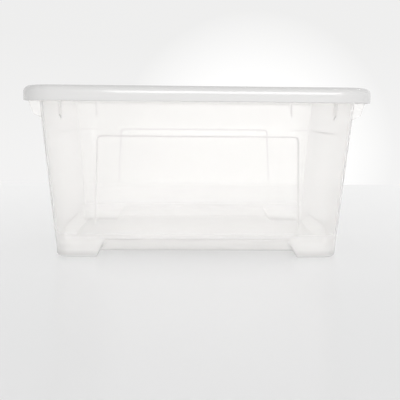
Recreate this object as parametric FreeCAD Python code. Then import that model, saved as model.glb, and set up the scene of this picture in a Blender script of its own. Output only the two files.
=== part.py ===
import FreeCAD, Part
import math
import os

# A long, low storage box for under a bed: a drafted see-through tub with four sunk panels, corner feet and a
# flanged rim, and a lid that drops over the rim. Millimetres, +Z up, the long front face towards -Y.
# The origin is on the floor under the middle of the box.

# Overall sizes
HEIGHT = 200.0
LID_LENGTH = 400.0
LID_DEPTH = 294.0
WALL = 2.0
CLEARANCE = 0.3

# Tub walls: they lean outwards from the base by the draft angle
BASE_LENGTH = 340.0
BASE_DEPTH = 234.0
DRAFT = math.radians(4.2)
BASE_RADIUS = 22.0
TOP_RADIUS = 28.0
BASE_EDGE = 4.0

# Panels sunk into the outside of the four walls: they widen slightly towards the base
PANEL_SINK = 0.8
PANEL_TOP = 144.0
PANEL_BOTTOM = 24.0
PANEL_FLARE = math.radians(3.0)
PANEL_CORNER = 5.0
LONG_PANEL_HALF = 114.5
SHORT_PANEL_HALF = 55.0

# Feet: the base is raised between them, and its edge is chamfered there
FOOT_WIDTH = 50.0
FOOT_HEIGHT = 6.5
FOOT_FLANK = 11.0
CHAMFER_TOP = 18.0
CHAMFER_INSET = 8.0

# Rim: a flat flange with a turned-down lip, held up by gussets near the corners
LID_GAP = 0.7
RIM_TOP = HEIGHT - WALL - CLEARANCE
RIM_LENGTH = LID_LENGTH - 2 * (WALL + LID_GAP)
RIM_DEPTH = LID_DEPTH - 2 * (WALL + LID_GAP)
LIP_DROP = 8.0
GUSSET_BOTTOM = 164.0
GUSSET_THICKNESS = 1.4
GUSSET_INSET = 1.6
GUSSET_LONG_AT = 154.0
GUSSET_SHORT_AT = 106.0

# Lid: a skirt round a plate whose middle is sunk, to hold the base of a box stacked on it
LID_RADIUS = 40.0
LID_EDGE = 8.0
INNER_EDGE = 4.0
SKIRT_BOTTOM = 182.7
RECESS = 3.5
RECESS_BORDER = 22.0
RECESS_RADIUS = 24.0

UP = FreeCAD.Vector(0, 0, 1)
REACH = 2 * LID_LENGTH


def rounded_rectangle(length, depth, radius, z):
    """A closed wire: a rectangle about the Z axis, with an arc at each corner."""
    x = length / 2 - radius
    y = depth / 2 - radius
    centres = [
        FreeCAD.Vector(x, y, z),
        FreeCAD.Vector(-x, y, z),
        FreeCAD.Vector(-x, -y, z),
        FreeCAD.Vector(x, -y, z),
    ]
    edges = []
    for index, centre in enumerate(centres):
        start = 90 * index
        end = math.radians(start + 90)
        side = FreeCAD.Vector(math.cos(end), math.sin(end), 0) * radius
        following = centres[(index + 1) % 4]
        edges.append(Part.makeCircle(radius, centre, UP, start, start + 90))
        edges.append(Part.makeLine(centre + side, following + side))
    return Part.Wire(edges)


def slab(length, depth, radius, low, high):
    """An upright prism with a rounded rectangle as its plan."""
    face = Part.Face(rounded_rectangle(length, depth, radius, low))
    return face.extrude(UP * (high - low))


def rim_edges(solid, z):
    """The edges of a solid that lie flat at height z."""
    flat = []
    for edge in solid.Edges:
        box = edge.BoundBox
        if abs(box.ZMin - z) < 0.001 and abs(box.ZMax - z) < 0.001:
            flat.append(edge)
    return flat


def drafted(inset, low, high):
    """The tub's plain drafted form between two heights, with its walls moved in by inset."""
    wires = []
    for z in (low, high):
        lean = 2 * (z * math.tan(DRAFT) - inset)
        radius = BASE_RADIUS + (TOP_RADIUS - BASE_RADIUS) * z / RIM_TOP - inset
        wires.append(rounded_rectangle(BASE_LENGTH + lean, BASE_DEPTH + lean, radius, z))
    form = Part.makeLoft(wires, True, True)
    return form.makeFillet(BASE_EDGE - inset / 2, rim_edges(form, low))


def outline_prism(outline, along_x, low, high):
    """A prism from (across, z) points, run along X or along Y between two places on that axis."""
    points = []
    for across, z in outline + outline[:1]:
        if along_x:
            points.append(FreeCAD.Vector(low, across, z))
        else:
            points.append(FreeCAD.Vector(across, low, z))
    axis = FreeCAD.Vector(1, 0, 0) if along_x else FreeCAD.Vector(0, 1, 0)
    return Part.Face(Part.makePolygon(points)).extrude(axis * (high - low))


def lengthwise_edges(prism, along_x):
    """The long edges of a prism that runs along X or Y."""
    long_edges = []
    for edge in prism.Edges:
        box = edge.BoundBox
        if (box.XLength if along_x else box.YLength) > REACH:
            long_edges.append(edge)
    return long_edges


def panel_cutter(half_top, along_x):
    """A prism through two facing walls, with the outline of the panel that they share."""
    half_bottom = half_top + (PANEL_TOP - PANEL_BOTTOM) * math.tan(PANEL_FLARE)
    outline = [
        (-half_top, PANEL_TOP),
        (half_top, PANEL_TOP),
        (half_bottom, PANEL_BOTTOM),
        (-half_bottom, PANEL_BOTTOM),
    ]
    prism = outline_prism(outline, along_x, -REACH, REACH)
    return prism.makeFillet(PANEL_CORNER, lengthwise_edges(prism, along_x))


def base_cutter(base_size, base_width, thickness, along_x):
    """The space under the tub between the feet at two facing walls: the raised base and its chamfered edge.

    base_size is the base's size across those walls, and base_width its size along them.
    thickness moves every face of the cutter outwards by that much, to shape the tub's inside.
    """
    drop = CHAMFER_TOP - FOOT_HEIGHT
    slope = math.hypot(drop, CHAMFER_INSET)
    shift = thickness * (1 - CHAMFER_INSET / slope) / (drop / slope)
    edge = base_size / 2 - CHAMFER_INSET - shift
    wide = REACH
    rise = drop * (wide - edge) / CHAMFER_INSET
    floor = FOOT_HEIGHT + thickness
    across = [
        (-wide, -wide),
        (wide, -wide),
        (wide, floor + rise),
        (edge, floor),
        (-edge, floor),
        (-wide, floor + rise),
    ]
    foot = base_width / 2 - FOOT_WIDTH + thickness
    flank = foot - FOOT_FLANK
    top = CHAMFER_TOP + thickness
    along = [
        (-foot, -WALL),
        (foot, -WALL),
        (foot, 0),
        (flank, top),
        (-flank, top),
        (-foot, 0),
    ]
    return outline_prism(across, not along_x, -wide, wide).common(outline_prism(along, along_x, -wide, wide))


def without_base(form, inset):
    """The form with the space between the feet taken away, for an inset of nothing or of one wall."""
    long_base = base_cutter(BASE_DEPTH, BASE_LENGTH, inset, False)
    short_base = base_cutter(BASE_LENGTH, BASE_DEPTH, inset, True)
    return form.cut(long_base).cut(short_base)


def tub_outside():
    """The solid that the tub would be without its hollow, with the panels sunk into it."""
    core = drafted(PANEL_SINK, 0, RIM_TOP)
    long_panels = panel_cutter(LONG_PANEL_HALF, False)
    short_panels = panel_cutter(SHORT_PANEL_HALF, True)
    form = drafted(0, 0, RIM_TOP).cut(long_panels).cut(short_panels).fuse(core)
    return without_base(form, 0)


def tub_inside():
    """The tub's hollow, one wall in from its outside all over."""
    return without_base(drafted(WALL, WALL, RIM_TOP), WALL)


def rim():
    """The flange round the mouth with its turned-down lip, as a ring with a rounded outer edge."""
    outer = slab(RIM_LENGTH, RIM_DEPTH, LID_RADIUS - WALL - LID_GAP, RIM_TOP - LIP_DROP, RIM_TOP)
    outer = outer.makeFillet(INNER_EDGE, rim_edges(outer, RIM_TOP))
    radius = LID_RADIUS - 2 * WALL - LID_GAP
    under = slab(RIM_LENGTH - 2 * WALL, RIM_DEPTH - 2 * WALL, radius, RIM_TOP - LIP_DROP, RIM_TOP - WALL)
    return outer.cut(under)


def gusset(base_size, rim_size, at, along_x):
    """A pair of thin plates at one place along two facing walls, from the wall out to the rim's lip."""
    wall = base_size / 2 + GUSSET_BOTTOM * math.tan(DRAFT)
    lip = rim_size / 2 - GUSSET_INSET
    knee = (wall + 2 * lip) / 3
    outline = [
        (-wall, GUSSET_BOTTOM),
        (wall, GUSSET_BOTTOM),
        (knee, GUSSET_BOTTOM + 2 * WALL),
        (lip, SKIRT_BOTTOM),
        (lip, RIM_TOP - WALL),
        (-lip, RIM_TOP - WALL),
        (-lip, SKIRT_BOTTOM),
        (-knee, GUSSET_BOTTOM + 2 * WALL),
    ]
    return outline_prism(outline, along_x, at - GUSSET_THICKNESS / 2, at + GUSSET_THICKNESS / 2)


def tub():
    """The open box: walls, floor, feet, rim and gussets in one moulding."""
    solid = tub_outside().fuse(rim())
    for side in (-1, 1):
        solid = solid.fuse(gusset(BASE_DEPTH, RIM_DEPTH, side * GUSSET_LONG_AT, True))
        solid = solid.fuse(gusset(BASE_LENGTH, RIM_LENGTH, side * GUSSET_SHORT_AT, False))
    return solid.cut(tub_inside()).removeSplitter()


def lid():
    """The lid: a plate with a sunk middle, and a skirt that drops over the tub's rim."""
    outer = slab(LID_LENGTH, LID_DEPTH, LID_RADIUS, SKIRT_BOTTOM, HEIGHT)
    outer = outer.makeFillet(LID_EDGE, rim_edges(outer, HEIGHT))
    under = HEIGHT - WALL
    hollow = slab(LID_LENGTH - 2 * WALL, LID_DEPTH - 2 * WALL, LID_RADIUS - WALL, SKIRT_BOTTOM, under)
    hollow = hollow.makeFillet(INNER_EDGE, rim_edges(hollow, under))
    length = LID_LENGTH - 2 * RECESS_BORDER
    depth = LID_DEPTH - 2 * RECESS_BORDER
    tray = slab(length + 2 * WALL, depth + 2 * WALL, RECESS_RADIUS + WALL, under - RECESS, under)
    recess = slab(length, depth, RECESS_RADIUS, HEIGHT - RECESS, HEIGHT)
    return outer.cut(hollow).fuse(tray).cut(recess).removeSplitter()


os.makedirs("parts", exist_ok=True)
for name, shape in {"tub": tub(), "lid": lid()}.items():
    shape.exportStep("parts/" + name + ".step")
    print(name, len(shape.Solids), "solid, valid", shape.isValid(), round(shape.Volume / 1000, 1), "cm3")
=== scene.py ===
import bmesh
import bpy
import math
import numpy as np
from mathutils import Matrix, Vector

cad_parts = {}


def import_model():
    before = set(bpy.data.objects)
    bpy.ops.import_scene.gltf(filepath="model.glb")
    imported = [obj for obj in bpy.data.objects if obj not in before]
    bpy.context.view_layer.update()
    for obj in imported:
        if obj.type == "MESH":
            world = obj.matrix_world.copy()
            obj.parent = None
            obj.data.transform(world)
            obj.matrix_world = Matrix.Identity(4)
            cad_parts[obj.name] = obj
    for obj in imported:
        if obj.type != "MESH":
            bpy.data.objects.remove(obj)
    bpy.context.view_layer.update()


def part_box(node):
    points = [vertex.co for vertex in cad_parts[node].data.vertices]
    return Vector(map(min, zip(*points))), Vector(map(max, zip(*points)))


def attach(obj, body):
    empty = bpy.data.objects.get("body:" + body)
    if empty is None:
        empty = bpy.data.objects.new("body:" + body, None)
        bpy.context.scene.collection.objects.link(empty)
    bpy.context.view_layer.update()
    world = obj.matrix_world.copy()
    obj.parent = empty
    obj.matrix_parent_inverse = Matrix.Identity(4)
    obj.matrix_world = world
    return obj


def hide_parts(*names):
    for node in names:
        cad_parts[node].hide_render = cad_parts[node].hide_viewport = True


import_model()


# ---------------------------------------------------------------- sizes, in metres

MM = 0.001
_, TUB_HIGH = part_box("tub")
LID_LOW, LID_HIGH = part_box("lid")
WALL = 2 * MM

# The tub's drafted walls, from the floor to the rim
BASE_X, BASE_Y = 170 * MM, 117 * MM
RIM_X, RIM_Y, RIM_TOP = TUB_HIGH.x, TUB_HIGH.y, TUB_HIGH.z
DRAFT = math.tan(math.radians(4.2))
BASE_RADIUS, TOP_RADIUS, RIM_RADIUS = 22 * MM, 28 * MM, 37.3 * MM
BASE_ROUNDING = 2.4 * MM

# The turned-down lip of the rim, and the rounding of the rim's outer edge and of the lip's lower edge
LIP_DROP, RIM_EDGE, LIP_ROUND = 8 * MM, 4 * MM, 0.6 * MM

# The panel sunk into each wall
PANEL_X, PANEL_Y = 114.5 * MM, 55 * MM
PANEL_TOP, PANEL_BOTTOM = 144 * MM, 24 * MM
PANEL_SINK, PANEL_CORNER = 0.8 * MM, 5 * MM
PANEL_FLARE = math.tan(math.radians(3))

# How wide the panel's step is on the long and short walls and at its lower end, and the shallow step that
# carries its top line round the back corners
LONG_RAMP, SHORT_RAMP, LOWER_RAMP = 1.8 * MM, 2.4 * MM, 10 * MM
CORNER_SINK, CORNER_FADE = 0.35 * MM, 14 * MM

# How far the painted shade reaches on each side of a step, and how much of it the front and corners have: a
# darker colour standing in for the dark lines the steps make by bending light
STEP_SHADE_HALF, SHORT_STEP_SHADE_HALF = 1.7 * MM, 2.4 * MM
FRONT_SHADE_SHARE, CORNER_SHADE_SHARE = 0.2, 0.8

# The feet, and the raised base with its chamfered edge between them
FOOT_WIDTH, FOOT_HEIGHT, FOOT_FLANK = 50 * MM, 6.5 * MM, 11 * MM
CHAMFER_TOP, CHAMFER_INSET = 18 * MM, 8 * MM
UNDER_STEP, UNDER_FINE = 0.8 * MM, 13 * MM
SOFTNESS = 1.6 * MM

# The gussets: thin plates with a knee where their outer edge meets the lip
GUSSET_BOTTOM, GUSSET_KNEE, GUSSET_INSET = 164 * MM, 182.7 * MM, 1.6 * MM
GUSSET_HALF, GUSSET_EMBED, GUSSET_BEVEL = 0.7 * MM, 1.0 * MM, 0.35 * MM
GUSSET_X, GUSSET_Y = 154 * MM, 106 * MM

# The lid, with a sunk middle inside its border
LID_RADIUS, LID_EDGE, INNER_EDGE = 40 * MM, 8 * MM, 4 * MM
RECESS, RECESS_BORDER, RECESS_RADIUS = 3.5 * MM, 22 * MM, 24 * MM
RECESS_SOFT, PLUG_SOFT, SKIRT_ROUND = 1.2 * MM, 1.0 * MM, 0.9 * MM
LID_LINES = 45

# Grid lines along half a wall: how many steps between these places, measured from the panel's edge
LONG_STEPS = ((-14 * MM, 9), (-2.6 * MM, 9), (2.6 * MM, 13), (9 * MM, 5))
SHORT_STEPS = ((-10 * MM, 5), (-2.6 * MM, 6), (2.6 * MM, 13), (9 * MM, 5))
CORNER_STEPS = 14
END_STEPS = 8

# A direction this close to an axis belongs to a flat wall and not to a corner
FLAT = 0.9999


# ---------------------------------------------------------------- mesh helpers

def smooth_max(a, b, width=SOFTNESS):
    """The larger of a and b, with the crease between them rounded over width."""
    h = np.clip(0.5 + 0.5 * (a - b) / width, 0, 1)
    return b + (a - b) * h + width * h * (1 - h)


def smooth_min(a, b, width=SOFTNESS):
    return -smooth_max(-a, -b, width)


def smooth_step(share):
    share = np.clip(share, 0, 1)
    return share * share * (3 - 2 * share)


def half_lines(edge, end, steps):
    """Line places over half a wall: 0 is its middle, 1 the panel's edge and 2 its end."""
    places = [0.0]
    for offset, count in steps:
        stop = 1 + offset / (edge if offset < 0 else end - edge)
        places += list(np.linspace(places[-1], stop, count + 1)[1:])
    places += list(np.linspace(places[-1], 2.0, END_STEPS + 1)[1:])
    return np.array(places)


def both_halves(half):
    return np.concatenate([-half[:0:-1], half])


def along(lines, edge, end):
    """Where the lines of a wall are, with the panel's edge at edge and the wall's end at end."""
    size = np.abs(lines)
    return np.sign(lines) * np.where(size <= 1, edge * size, edge + (end - edge) * (size - 1))


class Loft:
    """A closed skin made of rings round the Z axis, one above another, with a cap at each end.

    Every ring is a rounded rectangle with the same number of points: the front wall's, a corner's, the right
    wall's and so on. Rings whose corner radius is nothing close onto the grid of a cap.
    """

    def __init__(self, long_lines, short_lines):
        self.long_lines = long_lines
        self.short_lines = short_lines
        self.points = []
        self.steps = []
        self.faces = []
        self.last = None

    def plan(self, half_x, half_y, radius, edge_x, edge_y):
        """The plan of a ring: its points, and the outward direction at each."""
        end_x, end_y = half_x - radius, half_y - radius
        x = along(self.long_lines, edge_x, end_x)
        y = along(self.short_lines, edge_y, end_y)
        turn = np.linspace(0, np.pi / 2, CORNER_STEPS + 1)[1:-1]
        walls = (
            (x, np.full_like(x, -half_y), (0, -1), (end_x, -end_y), -np.pi / 2),
            (np.full_like(y, half_x), y, (1, 0), (end_x, end_y), 0),
            (-x, np.full_like(x, half_y), (0, 1), (-end_x, end_y), np.pi / 2),
            (np.full_like(y, -half_x), -y, (-1, 0), (-end_x, -end_y), np.pi),
        )
        places, ways = [], []
        for wall_x, wall_y, way, centre, start in walls:
            places.append(np.stack([wall_x, wall_y], 1))
            ways.append(np.tile(way, (len(wall_x), 1)))
            round_way = np.stack([np.cos(start + turn), np.sin(start + turn)], 1)
            places.append(np.array(centre) + radius * round_way)
            ways.append(round_way)
        return np.concatenate(places), np.concatenate(ways).astype(float)

    def ring(self, plan, z, step=0.0):
        """Adds a ring of points and joins it to the last one. step is how much painted shade the ring's
        points get along the panel steps.
        """
        count = len(plan)
        heights = np.broadcast_to(z, (count,))
        first = sum(len(p) for p in self.points)
        self.points.append(np.column_stack([plan, heights]))
        self.steps.append(np.broadcast_to(step, (count,)))
        if self.last is not None:
            here = np.arange(count)
            beside = (here + 1) % count
            quads = np.stack([self.last + here, self.last + beside, first + beside, first + here], 1)
            self.faces += quads.tolist()
        self.last = first

    def cap(self, x, y, height):
        """Adds a flat grid, lifted by height(x, y), whose border lies on a ring with no corner radius."""
        grid_x, grid_y = np.meshgrid(x, y, indexing="ij")
        first = sum(len(p) for p in self.points)
        z = np.broadcast_to(height(grid_x, grid_y), grid_x.shape)
        self.points.append(np.stack([grid_x.ravel(), grid_y.ravel(), z.ravel()], 1))
        self.steps.append(np.zeros(grid_x.size))
        index = first + np.arange(len(x) * len(y)).reshape(len(x), len(y))
        quads = np.stack([index[:-1, :-1], index[1:, :-1], index[1:, 1:], index[:-1, 1:]], -1)
        self.faces += quads.reshape(-1, 4).tolist()

    def build(self, name):
        """The skin as an object, with doubled points merged and its faces turned outwards."""
        mesh = bpy.data.meshes.new(name)
        mesh.from_pydata(np.concatenate(self.points).tolist(), [], self.faces)
        # The step attribute carries the share of painted shade along the panel steps, for the material
        steps = mesh.attributes.new("step", "FLOAT", "POINT")
        steps.data.foreach_set("value", np.concatenate(self.steps).astype(np.float32))
        edit = bmesh.new()
        edit.from_mesh(mesh)
        bmesh.ops.remove_doubles(edit, verts=edit.verts, dist=MM / 1000)
        bmesh.ops.recalc_face_normals(edit, faces=edit.faces)
        edit.to_mesh(mesh)
        edit.free()
        mesh.shade_smooth()
        made = bpy.data.objects.new(name, mesh)
        bpy.context.scene.collection.objects.link(made)
        return made


# ---------------------------------------------------------------- tub

def under_side(x, y, thickness):
    """The height of the tub's lowest surface at a place in plan, or of its inner floor one wall above."""
    drop = CHAMFER_TOP - FOOT_HEIGHT
    slope = math.hypot(drop, CHAMFER_INSET)
    shift = thickness * (1 - CHAMFER_INSET / slope) / (drop / slope)
    cuts = []
    for across, base_across, beside, base_beside in ((y, BASE_Y, x, BASE_X), (x, BASE_X, y, BASE_Y)):
        past_edge = np.abs(across) - (base_across - CHAMFER_INSET - shift)
        roof = FOOT_HEIGHT + thickness + smooth_max(past_edge, 0, SOFTNESS / 2) * drop / CHAMFER_INSET
        to_foot = base_beside - FOOT_WIDTH + thickness - np.abs(beside)
        flank = to_foot * (CHAMFER_TOP + thickness) / FOOT_FLANK
        cuts.append(smooth_min(roof, flank))
    return smooth_max(smooth_max(cuts[0], cuts[1]), thickness)


def panel_edges(z):
    """How far the long and short walls' panel edges are from the middle at a height."""
    down = (PANEL_TOP - min(max(z, PANEL_BOTTOM), PANEL_TOP)) * PANEL_FLARE
    return PANEL_X + down, PANEL_Y + down


def wall_plan(loft, z, inset):
    """The plan of the drafted wall at a height, moved in by inset."""
    lean = z * DRAFT - inset
    radius = BASE_RADIUS + (TOP_RADIUS - BASE_RADIUS) * z / RIM_TOP - inset
    return loft.plan(BASE_X + lean, BASE_Y + lean, radius, *panel_edges(z))


def sunk(plan, ways, z):
    """The outside of the wall at one height, with the panels and the back corners sunk into it, and how much
    painted shade each point gets along the steps."""
    edge_x, edge_y = panel_edges(z)
    size = np.abs(plan)
    flat = np.abs(ways).max(1) > FLAT
    long_wall = np.abs(ways[:, 1]) > FLAT
    beside = np.where(long_wall, size[:, 0] - edge_x, size[:, 1] - edge_y)
    ramp = np.where(long_wall, LONG_RAMP, SHORT_RAMP)
    over = max(z - PANEL_TOP, (PANEL_BOTTOM - z) * LONG_RAMP / LOWER_RAMP)
    corner_z = max(over + PANEL_CORNER, 0)
    inner = np.minimum(np.maximum(beside, over) + PANEL_CORNER, 0)
    outside = np.hypot(np.maximum(beside + PANEL_CORNER, 0), corner_z) + inner - PANEL_CORNER
    panel = np.where(flat, smooth_step(0.5 - outside / ramp), 0)
    past_end = smooth_step(1 + (size[:, 0] - size[long_wall, 0].max()) / CORNER_FADE)
    at_back = smooth_step(plan[:, 1] / CORNER_FADE)
    corner = np.where(long_wall, past_end, 1) * at_back * smooth_step(0.5 - (z - PANEL_TOP) / SHORT_RAMP)
    fade = min(max((z - PANEL_BOTTOM) / (PANEL_TOP - PANEL_BOTTOM), 0), 1)
    depth = np.maximum(PANEL_SINK * panel, CORNER_SINK * corner * fade)
    # Painted shade along the panel steps: a darker colour on each side of a step's edge, weaker on the front
    # wall, with a band round the back corners at the panel's top line, fading towards the panel's bottom
    half = np.where(long_wall, STEP_SHADE_HALF, SHORT_STEP_SHADE_HALF)
    across = np.clip(1 - np.abs(np.where(flat, outside, 1)) / half, 0, 1)
    corner_shade = CORNER_SHADE_SHARE * corner * max(1 - abs(z - PANEL_TOP) / STEP_SHADE_HALF, 0)
    front = np.where(ways[:, 1] < -FLAT, FRONT_SHADE_SHARE, 1)
    return plan - ways * depth[:, None], np.maximum(across * front, corner_shade) * fade


def wall_heights():
    """The heights of the wall's rings, close together where the panels start and end."""
    near = np.linspace(-2.2, 2.2, 12) * MM
    heights = list(np.linspace(RIM_TOP - 3.2 * MM, PANEL_TOP + 8 * MM, 7))
    heights += [PANEL_TOP + 5 * MM]
    heights += list(PANEL_TOP + near[::-1])
    heights += list(np.linspace(PANEL_TOP - 3.2 * MM, PANEL_TOP - 7 * MM, 4))
    heights += list(np.linspace(PANEL_TOP - 14 * MM, PANEL_BOTTOM + 14 * MM, 11))
    heights += list(np.linspace(PANEL_BOTTOM + 9 * MM, PANEL_BOTTOM - 2 * MM, 10))
    return heights


def lower_wall(loft, inset, rounding, top):
    """Rings from the height top down the wall, round its bottom edge and onto the under side or floor."""
    plan, _ = wall_plan(loft, 0, inset)
    foot_z = under_side(plan[:, 0], plan[:, 1], inset)
    for _ in range(6):
        lean = (foot_z * DRAFT)[:, None]
        _, ways = wall_plan(loft, 0, inset)
        at_foot = plan + ways * lean
        foot_z = under_side(at_foot[:, 0], at_foot[:, 1], inset)
    rings = []
    for share in np.linspace(0, 1, 9)[1:]:
        z = top + (foot_z + rounding - top) * share
        rings.append((plan + ways * (z * DRAFT)[:, None], z))
    radius = BASE_RADIUS - inset
    start_plan, start_z = rings[-1]
    end_plan, _ = loft.plan(
        BASE_X - inset - rounding, BASE_Y - inset - rounding, radius - rounding, *panel_edges(0)
    )
    end_z = under_side(end_plan[:, 0], end_plan[:, 1], inset)
    corner = np.column_stack([at_foot, foot_z])
    start = np.column_stack([start_plan, start_z])
    end = np.column_stack([end_plan, end_z])
    for t in np.linspace(0, 1, 7)[1:]:
        point = start * (1 - t) ** 2 + corner * 2 * t * (1 - t) + end * t * t
        rings.append((point[:, :2], point[:, 2]))
    insets = list(np.arange(rounding + UNDER_STEP, UNDER_FINE, UNDER_STEP))
    insets += list(np.linspace(UNDER_FINE, radius, 5))
    for move in insets:
        ring_plan, _ = loft.plan(
            BASE_X - inset - move, BASE_Y - inset - move, max(radius - move, 0), *panel_edges(0)
        )
        rings.append((ring_plan, under_side(ring_plan[:, 0], ring_plan[:, 1], inset)))
    return rings


def rim_profile():
    """The rim's section as (distance in from its outer edge, height): from under the flange, round the lip
    and over the top edge."""
    lip = WALL
    under = RIM_TOP - WALL
    low = RIM_TOP - LIP_DROP + LIP_ROUND
    profile = [(3.4 * MM, under), (2.6 * MM, under - 0.1 * MM), (2.1 * MM, under - 0.6 * MM)]
    profile += [(lip, under - 1.4 * MM), (lip, low)]
    for turn in np.linspace(0, np.pi, 7)[1:-1]:
        profile.append((lip / 2 + lip / 2 * np.cos(turn), low - LIP_ROUND * np.sin(turn)))
    profile += [(0, low)]
    for turn in np.linspace(0, np.pi / 2, 8):
        profile.append((RIM_EDGE - RIM_EDGE * np.cos(turn), RIM_TOP - RIM_EDGE + RIM_EDGE * np.sin(turn)))
    return profile


def make_tub():
    """The tub as one closed skin: under side, outer wall, rim, inner wall and floor."""
    long_half = half_lines(PANEL_X, BASE_X - BASE_RADIUS, LONG_STEPS)
    short_half = half_lines(PANEL_Y, BASE_Y - BASE_RADIUS, SHORT_STEPS)
    loft = Loft(both_halves(long_half), both_halves(short_half))
    edges = panel_edges(0)
    x = along(loft.long_lines, edges[0], BASE_X - BASE_RADIUS)
    y = along(loft.short_lines, edges[1], BASE_Y - BASE_RADIUS)
    heights = wall_heights()

    loft.cap(x, y, lambda px, py: under_side(px, py, 0))
    for plan, z in reversed(lower_wall(loft, 0, BASE_ROUNDING, heights[-1])):
        loft.ring(plan, z)
    for z in reversed(heights):
        # flank is the share of painted shade along the panel steps at this height
        plan, flank = sunk(*wall_plan(loft, z, 0), z)
        loft.ring(plan, z, flank)
    top = panel_edges(RIM_TOP)
    plan, ways = wall_plan(loft, RIM_TOP - WALL, 0)
    loft.ring(plan + ways * 0.3 * MM, RIM_TOP - WALL - 0.6 * MM)
    loft.ring(plan + ways * 1.2 * MM, RIM_TOP - WALL)
    for inward, z in rim_profile():
        ring, _ = loft.plan(RIM_X - inward, RIM_Y - inward, RIM_RADIUS - inward, *top)
        loft.ring(ring, z)
    plan, ways = wall_plan(loft, RIM_TOP, WALL)
    for outward, down in ((1.2, 0), (0.5, 0.15), (0.15, 0.5), (0, 1.2)):
        loft.ring(plan + ways * outward * MM, RIM_TOP - down * MM)
    for z in heights:
        loft.ring(wall_plan(loft, z, WALL)[0], z)
    for plan, z in lower_wall(loft, WALL, BASE_ROUNDING, heights[-1]):
        loft.ring(plan, z)
    loft.cap(x, y, lambda px, py: under_side(px, py, WALL))
    return loft.build("tub_moulding")


# ---------------------------------------------------------------- lid

def make_lid():
    """The lid as one closed skin: sunk middle, border, rounded edge and skirt, and the same again beneath."""
    half_x, half_y, top, bottom = LID_HIGH.x, LID_HIGH.y, LID_HIGH.z, LID_LOW.z
    even = np.linspace(-2, 2, LID_LINES)
    loft = Loft(even, even)

    def ring(inward, z, corner=None):
        corner = LID_RADIUS - inward if corner is None else corner
        size_x, size_y = half_x - inward, half_y - inward
        plan, _ = loft.plan(size_x, size_y, corner, (size_x - corner) / 2, (size_y - corner) / 2)
        loft.ring(plan, z)

    def cap(inward, corner, z):
        end_x, end_y = half_x - inward - corner, half_y - inward - corner
        loft.cap(along(even, end_x / 2, end_x), along(even, end_y / 2, end_y), lambda px, py: z)

    floor_top = top - RECESS
    cap(RECESS_BORDER, RECESS_RADIUS, floor_top)
    for share in np.linspace(1, 0.12, 8):
        move = RECESS_RADIUS * share
        ring(RECESS_BORDER + move, floor_top, RECESS_RADIUS - move)
    for turn in np.linspace(0, np.pi / 2, 6):
        inward = RECESS_BORDER + RECESS_SOFT - RECESS_SOFT * np.sin(turn)
        corner = RECESS_RADIUS - (inward - RECESS_BORDER)
        ring(inward, floor_top + RECESS_SOFT - RECESS_SOFT * np.cos(turn), corner)
    for turn in np.linspace(0, np.pi / 2, 6):
        inward = RECESS_BORDER - RECESS_SOFT + RECESS_SOFT * np.cos(turn)
        ring(inward, top - RECESS_SOFT + RECESS_SOFT * np.sin(turn), RECESS_RADIUS + RECESS_BORDER - inward)
    for turn in np.linspace(0, np.pi / 2, 12):
        ring(LID_EDGE - LID_EDGE * np.sin(turn), top - LID_EDGE + LID_EDGE * np.cos(turn))
    for z in np.linspace(top - LID_EDGE - 1.5 * MM, bottom + SKIRT_ROUND, 6):
        ring(0, z)
    for turn in np.linspace(0, np.pi, 8)[1:-1]:
        ring(WALL / 2 - WALL / 2 * np.cos(turn), bottom + SKIRT_ROUND * (1 - np.sin(turn)))
    under = top - WALL
    for z in np.linspace(bottom + SKIRT_ROUND, under - INNER_EDGE - 1.5 * MM, 5):
        ring(WALL, z)
    for turn in np.linspace(0, np.pi / 2, 10):
        ring(WALL + INNER_EDGE - INNER_EDGE * np.cos(turn), under - INNER_EDGE + INNER_EDGE * np.sin(turn))
    plug = RECESS_BORDER - WALL
    plug_radius = RECESS_RADIUS + WALL
    for turn in np.linspace(0, np.pi / 2, 6):
        inward = plug - PLUG_SOFT + PLUG_SOFT * np.sin(turn)
        ring(inward, under - PLUG_SOFT + PLUG_SOFT * np.cos(turn), plug_radius + plug - inward)
    floor_under = floor_top - WALL
    for turn in np.linspace(0, np.pi / 2, 6):
        inward = plug + PLUG_SOFT - PLUG_SOFT * np.cos(turn)
        ring(inward, floor_under + PLUG_SOFT - PLUG_SOFT * np.sin(turn), plug_radius + plug - inward)
    for share in np.linspace(0.12, 1, 8):
        move = plug_radius * share
        ring(plug + move, floor_under, plug_radius - move)
    cap(plug, plug_radius, floor_under)
    return loft.build("lid_moulding")


# ---------------------------------------------------------------- gussets

def make_gussets():
    """Eight thin plates under the rim near the corners, each from the wall out to the lip."""
    low, top = GUSSET_BOTTOM, RIM_TOP - WALL / 2
    edit = bmesh.new()
    for along_x, at, base, rim in ((False, GUSSET_X, BASE_Y, RIM_Y), (True, GUSSET_Y, BASE_X, RIM_X)):
        wall = base + low * DRAFT
        lip = rim - GUSSET_INSET
        outline = [
            (wall - GUSSET_EMBED, low - GUSSET_EMBED),
            (wall, low),
            ((wall + 2 * lip) / 3, low + 4 * MM),
            (lip, GUSSET_KNEE),
            (lip, top),
            (base + top * DRAFT - GUSSET_EMBED, top),
        ]
        for side in (-1, 1):
            for other in (-1, 1):
                rows = []
                for across in (-GUSSET_HALF, GUSSET_HALF):
                    row = []
                    for out, z in outline:
                        place = (side * out, other * at + across)
                        row.append(edit.verts.new((*(place if along_x else place[::-1]), z)))
                    rows.append(row)
                edit.faces.new(rows[0])
                edit.faces.new(rows[1][::-1])
                for index in range(len(outline)):
                    following = (index + 1) % len(outline)
                    edit.faces.new(
                        (rows[0][index], rows[1][index], rows[1][following], rows[0][following])
                    )
    bmesh.ops.recalc_face_normals(edit, faces=edit.faces)
    mesh = bpy.data.meshes.new("gussets")
    edit.to_mesh(mesh)
    edit.free()
    made = bpy.data.objects.new("gussets", mesh)
    bpy.context.scene.collection.objects.link(made)
    return made


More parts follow.
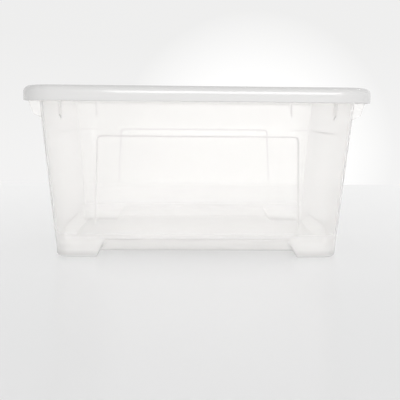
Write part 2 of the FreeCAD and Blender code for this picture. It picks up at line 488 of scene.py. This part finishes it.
def unite(body, extra):
    """Joins extra to body as one solid, and removes extra."""
    soften = extra.modifiers.new("soften", "BEVEL")
    soften.width = GUSSET_BEVEL
    soften.segments = 2
    join = body.modifiers.new("join", "BOOLEAN")
    join.operation = "UNION"
    join.solver = "EXACT"
    join.object = extra
    bpy.context.view_layer.update()
    shape = body.evaluated_get(bpy.context.evaluated_depsgraph_get())
    joined = bpy.data.meshes.new_from_object(shape)
    body.modifiers.clear()
    body.data = joined
    bpy.data.objects.remove(extra)


# ---------------------------------------------------------------- node helpers

class Nodes:
    """A short way to add shader nodes to one node tree and link them."""

    def __init__(self, tree):
        self.tree = tree
        tree.nodes.clear()

    def add(self, kind, **settings):
        node = self.tree.nodes.new(kind)
        for name, value in settings.items():
            setattr(node, name, value)
        return node

    def put(self, node, socket, value):
        if isinstance(value, bpy.types.NodeSocket):
            self.tree.links.new(value, node.inputs[socket])
        else:
            node.inputs[socket].default_value = value

    def noise(self, where, scale, detail=2.0):
        node = self.add("ShaderNodeTexNoise")
        self.put(node, "Vector", where)
        self.put(node, "Scale", scale)
        self.put(node, "Detail", detail)
        return node.outputs["Fac"]

    def stretch(self, where, scale):
        node = self.add("ShaderNodeMapping")
        self.put(node, "Vector", where)
        self.put(node, "Scale", scale)
        return node.outputs["Vector"]

    def remap(self, value, low, high, to_low, to_high):
        node = self.add("ShaderNodeMapRange")
        self.put(node, "Value", value)
        self.put(node, "From Min", low)
        self.put(node, "From Max", high)
        self.put(node, "To Min", to_low)
        self.put(node, "To Max", to_high)
        return node.outputs["Result"]

    def maths(self, operation, a, b):
        node = self.add("ShaderNodeMath", operation=operation)
        self.put(node, 0, a)
        self.put(node, 1, b)
        return node.outputs["Value"]

    def blend(self, factor, a, b):
        node = self.add("ShaderNodeMix", data_type="RGBA")
        self.put(node, "Factor", factor)
        self.put(node, "A", a)
        self.put(node, "B", b)
        return node.outputs["Result"]

    def bump(self, height, strength, distance, normal=None):
        node = self.add("ShaderNodeBump")
        self.put(node, "Height", height)
        self.put(node, "Strength", strength)
        self.put(node, "Distance", distance)
        if normal is not None:
            self.put(node, "Normal", normal)
        return node.outputs["Normal"]


# ---------------------------------------------------------------- materials

IOR = 1.49
COAT_ROUGHNESS = 0.06
# Heights at the bottom: painted shade darkens the feet up to the second, and the plastic lets less light
# through up to the third
LOW, FEET_SHADE_TOP, HAZE_TOP = 4 * MM, 9 * MM, 30 * MM


def plastic(name, colours, clear, side_on, low_share, low_painted_shade, rough, lamps_through, coat):
    """Moulded polypropylene: clear is the share of light that goes through it where it is seen face on, and
    side_on the share where it is seen side on. At the bottom those shares are multiplied by low_share, and
    painted shade darkens the feet with a share of the third colour. The first two colours vary over the body,
    and the third is the colour of painted shade: along the panel steps, where the surface is seen side on,
    and on the feet. lamps_through is how much of a lamp's light passes it."""
    material = bpy.data.materials.new(name)
    material.use_nodes = True
    n = Nodes(material.node_tree)
    out = n.add("ShaderNodeOutputMaterial")
    shader = n.add("ShaderNodeBsdfPrincipled")
    open_way = n.add("ShaderNodeBsdfTransparent")
    n.put(open_way, "Color", (lamps_through, lamps_through, lamps_through, 1))
    choice = n.add("ShaderNodeMixShader")
    n.put(choice, 0, n.add("ShaderNodeLightPath").outputs["Is Shadow Ray"])
    n.put(choice, 1, shader.outputs["BSDF"])
    n.put(choice, 2, open_way.outputs["BSDF"])
    n.put(out, "Surface", choice.outputs["Shader"])
    where = n.add("ShaderNodeTexCoord").outputs["Object"]
    light, dark, edge = colours
    cloud = n.noise(where, 9.0, 3.0)
    body = n.blend(cloud, light, dark)
    # Painted shade along the tub's panel steps, read from the mesh's step attribute
    steps = n.add("ShaderNodeAttribute", attribute_name="step").outputs["Fac"]
    facing = n.add("ShaderNodeLayerWeight")
    n.put(facing, "Blend", 0.5)
    # rim is painted shade: the colour darkens towards the third colour where the surface is seen side on
    rim = n.remap(facing.outputs["Facing"], 0.6, 1.0, 0.0, 0.2)
    height = n.add("ShaderNodeSeparateXYZ")
    n.put(height, "Vector", where)
    base = n.remap(height.outputs["Z"], LOW, HAZE_TOP, 1 - low_share, 0.0)
    # Painted shade on the feet: the third colour mixed in at the bottom, fading out upwards
    feet = n.remap(height.outputs["Z"], LOW, FEET_SHADE_TOP, low_painted_shade, 0.0)
    # All painted shade: the largest of the step, side-on and feet shares mixes the third colour into the
    # body's colour
    shade = n.maths("MAXIMUM", n.maths("MAXIMUM", steps, rim), feet)
    n.put(shader, "Base Color", n.blend(shade, body, edge))
    flow = n.noise(where, 30.0)
    n.put(shader, "Roughness", n.remap(flow, 0.2, 0.8, rough[0], rough[1]))
    scratch = n.noise(n.stretch(where, (900.0, 900.0, 30.0)), 1.0)
    waves = n.noise(where, 14.0)
    normal = n.bump(waves, 0.15, 0.001)
    n.put(shader, "Normal", n.bump(scratch, 0.03, 0.0001, normal))
    through = n.remap(facing.outputs["Facing"], 0.45, 0.95, clear, side_on)
    n.put(shader, "Transmission Weight", n.maths("MULTIPLY", through, n.maths("SUBTRACT", 1.0, base)))
    n.put(shader, "IOR", IOR)
    n.put(shader, "Coat Weight", coat)
    n.put(shader, "Coat Roughness", COAT_ROUGHNESS)
    return material


def finish_piece(piece, node, material):
    """Gives a piece its material, and puts it in the place of its CAD node."""
    piece.data.materials.clear()
    piece.data.materials.append(material)
    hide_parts(node)
    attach(piece, node)


tub = make_tub()
unite(tub, make_gussets())
lid = make_lid()
clear = plastic(
    "clear_plastic",
    colours=((1, 0.992, 0.985, 1), (0.985, 0.978, 0.97, 1), (0.3, 0.295, 0.29, 1)),
    clear=0.76,
    side_on=0.5,
    low_share=0.65,
    # Share of painted shade mixed in on the feet
    low_painted_shade=0.24,
    rough=(0.04, 0.07),
    lamps_through=0.99,
    coat=0.0,
)
milky = plastic(
    "milky_plastic",
    colours=((0.79, 0.785, 0.78, 1), (0.77, 0.767, 0.765, 1), (0.65, 0.65, 0.65, 1)),
    clear=0.2,
    side_on=0.1,
    low_share=1.0,
    low_painted_shade=0.0,
    rough=(0.2, 0.26),
    lamps_through=0.97,
    coat=1.0,
)
finish_piece(tub, "tub", clear)
finish_piece(lid, "lid", milky)


# ---------------------------------------------------------------- camera, light and stage

def camera(place, yaw, pitch, roll, lens):
    """A camera at place: yaw turns it to its right, pitch tips it down and roll lifts its right side."""
    ahead = Vector((math.sin(yaw) * math.cos(pitch), math.cos(yaw) * math.cos(pitch), -math.sin(pitch)))
    right = Vector((math.cos(yaw), -math.sin(yaw), 0))
    up = right.cross(ahead)
    tilted_right = right * math.cos(roll) + up * math.sin(roll)
    tilted_up = up * math.cos(roll) - right * math.sin(roll)
    data = bpy.data.cameras.new("camera")
    data.lens = lens
    data.sensor_width = 36.0
    data.clip_start = 0.01
    camera_object = bpy.data.objects.new("camera", data)
    turn = Matrix((tilted_right, tilted_up, -ahead)).transposed().to_4x4()
    camera_object.matrix_world = Matrix.Translation(place) @ turn
    bpy.context.scene.collection.objects.link(camera_object)
    bpy.context.scene.camera = camera_object


def floor(low, high):
    """A pale glossy table top."""
    mesh = bpy.data.meshes.new("table_top")
    corners = [(low[0], low[1], 0), (high[0], low[1], 0), (high[0], high[1], 0), (low[0], high[1], 0)]
    mesh.from_pydata(corners, [], [(0, 1, 2, 3)])
    material = bpy.data.materials.new("table_gloss")
    material.use_nodes = True
    shader = material.node_tree.nodes["Principled BSDF"]
    shader.inputs["Base Color"].default_value = (0.53, 0.532, 0.535, 1)
    shader.inputs["Roughness"].default_value = 0.18
    shader.inputs["Emission Color"].default_value = (1, 1, 1, 1)
    shader.inputs["Emission Strength"].default_value = 0.29
    mesh.materials.append(material)
    top = bpy.data.objects.new("table_top", mesh)
    bpy.context.scene.collection.objects.link(top)


def softbox(name, place, aim, size, power):
    """A rectangular area lamp at place, turned towards aim."""
    light = bpy.data.lights.new(name, "AREA")
    light.shape = "RECTANGLE"
    light.size, light.size_y = size
    light.energy = power
    lamp = bpy.data.objects.new(name, light)
    lamp.location = place
    lamp.rotation_euler = (Vector(aim) - Vector(place)).to_track_quat("-Z", "Y").to_euler()
    bpy.context.scene.collection.objects.link(lamp)


def world():
    """A bright plain studio: darker behind the box, overhead and on the far left, with a soft glow behind."""
    sky = bpy.data.worlds.new("studio")
    sky.use_nodes = True
    n = Nodes(sky.node_tree)
    out = n.add("ShaderNodeOutputWorld")
    back = n.add("ShaderNodeBackground")
    n.put(out, "Surface", back.outputs["Background"])
    where = n.add("ShaderNodeTexCoord").outputs["Generated"]
    way = n.add("ShaderNodeSeparateXYZ")
    n.put(way, "Vector", where)
    front_to_back = n.remap(way.outputs["Y"], -0.6, 0.6, 1.0, 0.865)
    side = n.remap(way.outputs["X"], -0.4, 0.1, -0.01, 0.0)
    far_side = n.remap(way.outputs["X"], -1.0, -0.35, -0.25, 0.0)
    low_down = n.remap(way.outputs["Z"], -0.07, 0.12, 0.04, 0.0)
    overhead = n.remap(way.outputs["Z"], 0.22, 0.7, 0.0, -0.27)
    glow_way = n.add("ShaderNodeVectorMath", operation="DOT_PRODUCT")
    n.put(glow_way, 0, where)
    n.put(glow_way, 1, Vector((0.12, 1.0, -0.07)).normalized())
    glow = n.remap(glow_way.outputs["Value"], 0.972, 1.0, 0.0, 0.2)
    level = n.maths("ADD", front_to_back, side)
    for part in (far_side, low_down, overhead, glow):
        level = n.maths("ADD", level, part)
    n.put(back, "Color", (1.0, 0.998, 0.994, 1))
    n.put(back, "Strength", level)
    bpy.context.scene.world = sky


def light_paths():
    """Lets light cross all the walls of a clear box before Cycles gives it up."""
    cycles = bpy.context.scene.cycles
    cycles.max_bounces = 32
    cycles.transmission_bounces = 32
    cycles.glossy_bounces = 12
    cycles.diffuse_bounces = 6
    cycles.transparent_max_bounces = 32


world()
light_paths()
camera(place=Vector((-0.0165, -0.7786, 0.1725)), yaw=0.0294, pitch=0.1545, roll=0.0094, lens=51.3)
floor(low=(-2.0, -1.6), high=(2.0, 0.58))
softbox("front_light", place=(0.15, -1.57, 0.66), aim=(0.05, -0.147, 0.19), size=(0.92, 0.7), power=6.8)
bpy.context.scene.view_settings.view_transform = "Standard"
